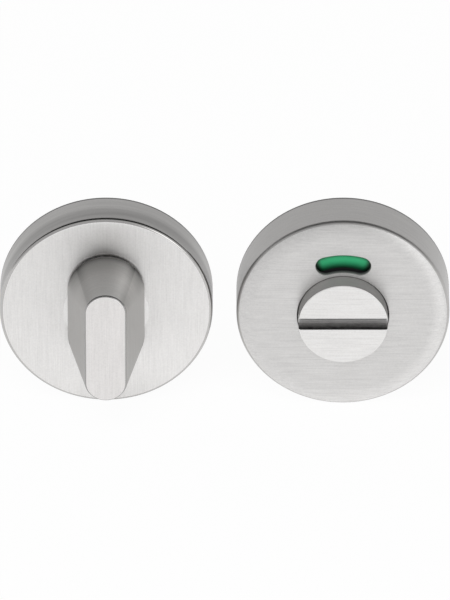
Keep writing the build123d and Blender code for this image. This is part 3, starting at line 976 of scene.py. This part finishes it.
def add_neck(piece, ring, top, end, radius, flats_top, groove, sizes, hole_top):
    """Draws a neck down from a ring: two flats, the circlip's groove, and the square hole in its end."""
    ring = piece.drawn(ring, flats_top - top)
    ring = piece.drawn(ring)
    for vert in piece.corners(ring):
        vert.co.x = max(min(vert.co.x, radius - sizes.flat), sizes.flat - radius)
    groove_low, groove_top = groove
    ring = piece.drawn(ring, groove_top - flats_top)
    ring = piece.drawn(ring, 0, 1 - sizes.groove / radius)
    ring = piece.drawn(ring, groove_low - groove_top)
    ring = piece.drawn(ring, 0, 1 / (1 - sizes.groove / radius))
    ring = piece.drawn(ring, end + sizes.mouth - groove_low)
    ring = piece.drawn(ring, -sizes.mouth, 1 - sizes.mouth / radius)
    mouth = piece.ring(sizes.square / sqrt(2), end, 4, radians(45))
    piece.filled(ring, mouth)
    piece.closed(piece.drawn(mouth, hole_top - end))


class LOCKSET_OT_thumb_turn(bpy.types.Operator):
    """Makes the thumb turn with its neck"""

    bl_idname = "lock_set.thumb_turn"
    bl_label = "Thumb turn"

    def execute(self, context):
        sizes = context.scene.lock_set_turn
        neck = context.scene.lock_set_neck
        colours = context.scene.lock_set_colours
        foot = INSIDE_H + sizes.foot_gap
        front = front_height("thumb_turn")
        piece = Piece()
        foot_loop = self.slot_loop(piece, sizes, foot)
        front_loop = self.draw_front(piece, sizes, foot_loop, front - foot)
        piece.closed(front_loop)
        neck_ring = piece.ring(sizes.neck, foot)
        piece.filled(foot_loop, neck_ring)
        add_neck(
            piece, neck_ring, foot, back_height("thumb_turn"), sizes.neck, front_height("inside_stop_ring"),
            groove_for("inside_circlip"), neck, foot + sizes.bar_depth,
        )
        piece.clean()
        piece.rounded(piece.outline_at(front), sizes.front_edge)
        outer = [edge for edge in piece.outline_at(foot)
                 if min(vert.co.xy.length for vert in edge.verts) > sizes.neck + HAIR]
        piece.rounded(outer, sizes.foot_edge, segments=2)
        face = steel_finish(
            "ground_turn_front", colours.turn_steel, INSIDE_X, ALONG_Z, rough=0.4, spread=0.5,
        )
        flank = steel_finish(
            "ground_turn_flank", colours.shaded_flank_steel, INSIDE_X, ROUND, rough=0.34, marks=grip_shade,
        )
        edge = edge_finish("polished_turn_edge", colours.shaded_turn_edge_steel, INSIDE_X, rough=0.12)
        foot_rim = edge_finish("polished_turn_foot", colours.shaded_edge_steel, INSIDE_X, rough=0.3)
        heights = (front - sizes.front_edge, foot, foot + sizes.foot_edge)
        piece.finished(
            "thumb_turn_grip", "thumb_turn", "turn", "brushed_turn", INSIDE_X, [face, flank, edge, foot_rim],
            lambda part: self.finish_of(part, *heights),
        )
        return {"FINISHED"}

    def finish_of(self, part, rounded_from, foot, rim_top):
        """The flat front, the rounded edge behind it, the foot's edge, or the flanks with the neck."""
        height = part.calc_center_median().z
        if part.normal.z > FLAT:
            return FACE
        if foot < height < rim_top:
            return FOOT_RIM
        return EDGE if height > rounded_from else SIDE

    def slot_loop(self, piece, sizes, height):
        """A circle whose halves are moved apart."""
        loop = piece.ring(sizes.foot_width / 2, height, turn=pi / STEPS_ROUND)
        reach = (sizes.foot_length - sizes.foot_width) / 2
        for side in (-1, 1):
            half = [vert for vert in piece.corners(loop) if vert.co.y * side > 0]
            bmesh.ops.translate(piece.bm, vec=(0, side * reach, 0), verts=half)
        return loop

    def draw_front(self, piece, sizes, foot_loop, rise):
        """Draws the foot's outline out to the front's narrower one."""
        loop = piece.drawn(foot_loop, rise)
        shrink = sizes.front_width / sizes.foot_width
        foot_reach = (sizes.foot_length - sizes.foot_width) / 2
        front_reach = (sizes.front_length - sizes.front_width) / 2
        for side in (-1, 1):
            half = [vert for vert in piece.corners(loop) if vert.co.y * side > 0]
            about = Matrix.Translation((0, -side * foot_reach, 0))
            bmesh.ops.scale(piece.bm, vec=(shrink, shrink, 1), space=about, verts=half)
            bmesh.ops.translate(piece.bm, vec=(0, side * (front_reach - foot_reach), 0), verts=half)
        return loop


class LOCKSET_OT_release_button(bpy.types.Operator):
    """Makes the release button with its coin slot and neck"""

    bl_idname = "lock_set.release_button"
    bl_label = "Release button"

    def execute(self, context):
        sizes = context.scene.lock_set_button
        neck = context.scene.lock_set_neck
        colours = context.scene.lock_set_colours
        radius = span("release_button").x / 2
        front = front_height("release_button")
        floor = front - sizes.slot_depth
        back = front_height("indicator_disc") - sizes.skirt
        piece = Piece()
        rim = piece.ring(radius, floor)
        piece.closed(rim)
        back_ring = piece.drawn(piece.at(floor, radius), back - floor)
        half = sizes.slot_width / 2
        for side in (-1, 1):
            everything = piece.bm.verts[:] + piece.bm.edges[:] + piece.bm.faces[:]
            bmesh.ops.bisect_plane(
                piece.bm, geom=everything, plane_co=(0, side * half, 0), plane_no=(0, 1, 0),
            )
        back_ring = [edge for edge in piece.at(back) if len(edge.link_faces) == 1]
        lands = [part for part in piece.bm.faces
                 if abs(part.normal.z) > LEVEL and abs(part.calc_center_median().y) > half]
        raised = bmesh.ops.extrude_discrete_faces(piece.bm, faces=lands)["faces"]
        lifted = list({vert for part in raised for vert in part.verts})
        bmesh.ops.translate(piece.bm, vec=(0, 0, front - floor), verts=lifted)
        neck_ring = piece.ring(sizes.neck, back)
        piece.filled(back_ring, neck_ring)
        add_neck(
            piece, neck_ring, back, back_height("release_button"), sizes.neck,
            front_height("outside_stop_ring"), groove_for("outside_circlip"), neck,
            floor - sizes.socket_floor,
        )
        piece.clean()
        piece.rounded(piece.outline_at(front), sizes.edge, segments=3)
        face = steel_finish(
            "faced_button_front", colours.button_steel, OUTSIDE_X, ALONG_X, rough=0.34, spread=0.5,
            turn=QUARTER, contrast=1.3,
        )
        side = steel_finish(
            "turned_shaded_button_side", colours.shaded_button_side_steel, OUTSIDE_X, ROUND, rough=0.7, metal=0.15,
        )
        edge = edge_finish("polished_button_edge", colours.ring_steel, OUTSIDE_X, rough=0.3)
        slot_floor = steel_finish(
            "milled_slot_floor", colours.slot_floor_steel, OUTSIDE_X, ALONG_X, rough=0.45, contrast=2.0,
        )
        slot_wall = steel_finish(
            "milled_slot_wall", colours.shaded_slot_wall_steel, OUTSIDE_X, ALONG_X, rough=0.5, contrast=3.0,
            marks=slot_shade_and_mottle,
        )
        piece.finished(
            "release_coin_button", "release_button", "release", "brushed_button", OUTSIDE_X,
            [face, side, edge, slot_floor, slot_wall],
            lambda part: self.finish_of(part, sizes, radius, front),
        )
        return {"FINISHED"}

    def finish_of(self, part, sizes, radius, front):
        """The slot's floor, its walls with their lower lip, or the button's own front, side and edge."""
        middle = part.calc_center_median()
        half = sizes.slot_width / 2
        slot = middle.z > front - sizes.slot_depth - HAIR and -half - sizes.edge < middle.y < half + HAIR
        if not slot or middle.xy.length > radius - sizes.edge:
            return finish_by_slope(part)
        if part.normal.z > FLAT:
            return SLOT_FLOOR if middle.z < front - sizes.slot_depth + HAIR else FACE
        return SLOT_WALL


HEAD_STEPS = 48
THREAD_STEPS = 24

# Shares of the core's radius: the point's, and the least of the thread's over the pointed end.
POINT_SHARE = 0.2
THREAD_SHARE = 0.25


class LOCKSET_OT_screws(bpy.types.Operator):
    """Makes the four countersunk wood screws with their threads"""

    bl_idname = "lock_set.screws"
    bl_label = "Fixing screws"

    def execute(self, context):
        sizes = context.scene.lock_set_screw
        zinc = plated_finish("zinc_screws", context.scene.lock_set_colours.zinc, rough=0.28)
        for node, centre_x in (("inside_fixing_screws", INSIDE_X), ("outside_fixing_screws", OUTSIDE_X)):
            piece = Piece()
            for side in (-1, 1):
                start = len(piece.bm.verts)
                self.screw(piece, sizes, front_height(node), back_height(node))
                piece.bm.verts.ensure_lookup_table()
                bmesh.ops.translate(piece.bm, vec=(side * sizes.circle, 0, 0), verts=piece.bm.verts[start:])
            name = node.replace("fixing", "wood")
            piece.finished(name, node, "roses", "zinc_plated_steel", centre_x, [zinc])
        return {"FINISHED"}

    def screw(self, piece, sizes, top, end):
        """The head with its cross, the shank with its point, and the thread wound round it."""
        rim = piece.ring(sizes.head, top, HEAD_STEPS)
        low = piece.drawn(rim, -sizes.rim)
        low = piece.drawn(low, sizes.core - sizes.head, sizes.core / sizes.head)
        cone_end = top - sizes.rim - (sizes.head - sizes.core)
        low = piece.drawn(low, end + sizes.tip - cone_end)
        low = piece.drawn(low, sizes.blunt - sizes.tip, POINT_SHARE)
        piece.closed(low)
        self.cut_cross(piece, sizes, piece.closed(rim))
        self.wind_thread(piece, sizes, end)

    def cut_cross(self, piece, sizes, faces):
        """Cuts the head's face along the cross and sinks it."""
        wide, long = sizes.cross_width / 2, sizes.cross_length / 2
        for axis in (Vector((1, 0, 0)), Vector((0, 1, 0))):
            for reach in (wide, -wide, long, -long):
                parts = [part for part in faces if part.is_valid]
                around = {edge for part in parts for edge in part.edges}
                corners = {vert for part in parts for vert in part.verts}
                cut = bmesh.ops.bisect_plane(
                    piece.bm, geom=parts + list(around) + list(corners), plane_co=axis * reach, plane_no=axis,
                )
                faces = [item for item in cut["geom"] if isinstance(item, bmesh.types.BMFace)]
        arms = []
        for part in faces:
            middle = part.calc_center_median()
            near, far = sorted((abs(middle.x), abs(middle.y)))
            if near < wide and far < long:
                arms.append(part)
        sunk = bmesh.ops.extrude_face_region(piece.bm, geom=arms)["geom"]
        verts = [item for item in sunk if isinstance(item, bmesh.types.BMVert)]
        bmesh.ops.translate(piece.bm, vec=(0, 0, -sizes.cross_depth), verts=verts)
        bmesh.ops.delete(piece.bm, geom=[part for part in arms if part.is_valid], context="FACES_ONLY")

    def wind_thread(self, piece, sizes, end):
        """Winds a three-sided tooth round the core, and lets it run out over the point."""
        turns = int((-end - sizes.plain) / sizes.pitch)
        root = sizes.core - sizes.bite
        tooth = ((root, 0), (sizes.thread, sizes.tooth / 2), (root, sizes.tooth))
        verts = [piece.bm.verts.new((radius, 0, -sizes.start - depth)) for radius, depth in tooth]
        edges = [piece.bm.edges.new((verts[at - 1], verts[at])) for at in range(len(verts))]
        piece.closed(edges)
        before = set(piece.bm.verts) - set(verts)
        wound = bmesh.ops.spin(
            piece.bm, geom=verts + edges, cent=(0, 0, 0), axis=(0, 0, 1), angle=2 * pi * turns,
            steps=THREAD_STEPS * turns, dvec=(0, 0, -sizes.pitch / THREAD_STEPS),
        )
        last = [item for item in wound["geom_last"] if isinstance(item, bmesh.types.BMEdge)]
        piece.closed(last)
        for vert in set(piece.bm.verts) - before:
            narrowed = min(1.0, max(THREAD_SHARE, (vert.co.z - end) / sizes.tip))
            vert.co.x *= narrowed
            vert.co.y *= narrowed


class LOCKSET_OT_finishes(bpy.types.Operator):
    """Dresses the pieces that keep the frame's own shape"""

    bl_idname = "lock_set.finishes"
    bl_label = "Finishes"

    def execute(self, context):
        colours = context.scene.lock_set_colours
        paint(
            plated_finish("zinc_plate", colours.zinc, rough=0.42),
            "turn_spindle", "inside_stop_ring", "outside_stop_ring",
        )
        paint(
            plated_finish("blued_spring", colours.spring, rough=0.36),
            "spindle_grub_screw", "inside_spring_washer", "outside_spring_washer", "inside_circlip",
            "outside_circlip",
        )
        paint(
            moulded_finish("black_nylon", colours.nylon, rough=0.5, relief=8.0e-6),
            "inside_base_plate", "outside_base_plate", "outside_bearing_carrier",
        )
        paint(
            moulded_finish("white_acetal", colours.acetal, rough=0.38, relief=3.0e-6),
            "inside_bearing_bush", "outside_bearing_bush",
        )
        disc = moulded_finish("disc_black", colours.disc, rough=0.6, relief=4.0e-6, gloss=0.2)
        paint(disc, "indicator_disc")
        for name, base, field in (
            ("signal_green", colours.green, "indicator_green_field"),
            ("signal_red", colours.red, "indicator_red_field"),
        ):
            inlay = moulded_finish(
                name, base, rough=0.42, relief=1.0e-6, centre_x=OUTSIDE_X, marks=field_shadow,
            )
            paint(inlay, field)
        return {"FINISHED"}


class LOCKSET_PT_panel(bpy.types.Panel):
    """Lists the steps that build the lock set"""

    bl_idname = "LOCKSET_PT_panel"
    bl_label = "Toilet lock set"
    bl_space_type = "VIEW_3D"
    bl_region_type = "UI"
    bl_category = "Lock Set"

    def draw(self, context):
        for step in STEPS:
            self.layout.operator(step.bl_idname)


STEPS = (
    LOCKSET_OT_stage,
    LOCKSET_OT_inside_cover,
    LOCKSET_OT_outside_cover,
    LOCKSET_OT_thumb_turn,
    LOCKSET_OT_release_button,
    LOCKSET_OT_screws,
    LOCKSET_OT_finishes,
)
GROUPS = {
    "lock_set_stage": StageSettings,
    "lock_set_colours": LockColours,
    "lock_set_cover": CoverSizes,
    "lock_set_turn": TurnSizes,
    "lock_set_button": ButtonSizes,
    "lock_set_neck": NeckSizes,
    "lock_set_screw": ScrewSizes,
}
CLASSES = (*GROUPS.values(), *STEPS, LOCKSET_PT_panel)


def register():
    for cls in CLASSES:
        bpy.utils.register_class(cls)
    for name, group in GROUPS.items():
        setattr(bpy.types.Scene, name, PointerProperty(type=group))


def unregister():
    for name in GROUPS:
        delattr(bpy.types.Scene, name)
    for cls in reversed(CLASSES):
        bpy.utils.unregister_class(cls)


def main():
    """Builds the whole set."""
    register()
    bpy.ops.lock_set.stage()
    bpy.ops.lock_set.inside_cover()
    bpy.ops.lock_set.outside_cover()
    bpy.ops.lock_set.thumb_turn()
    bpy.ops.lock_set.release_button()
    bpy.ops.lock_set.screws()
    bpy.ops.lock_set.finishes()


if __name__ == "__main__":
    main()
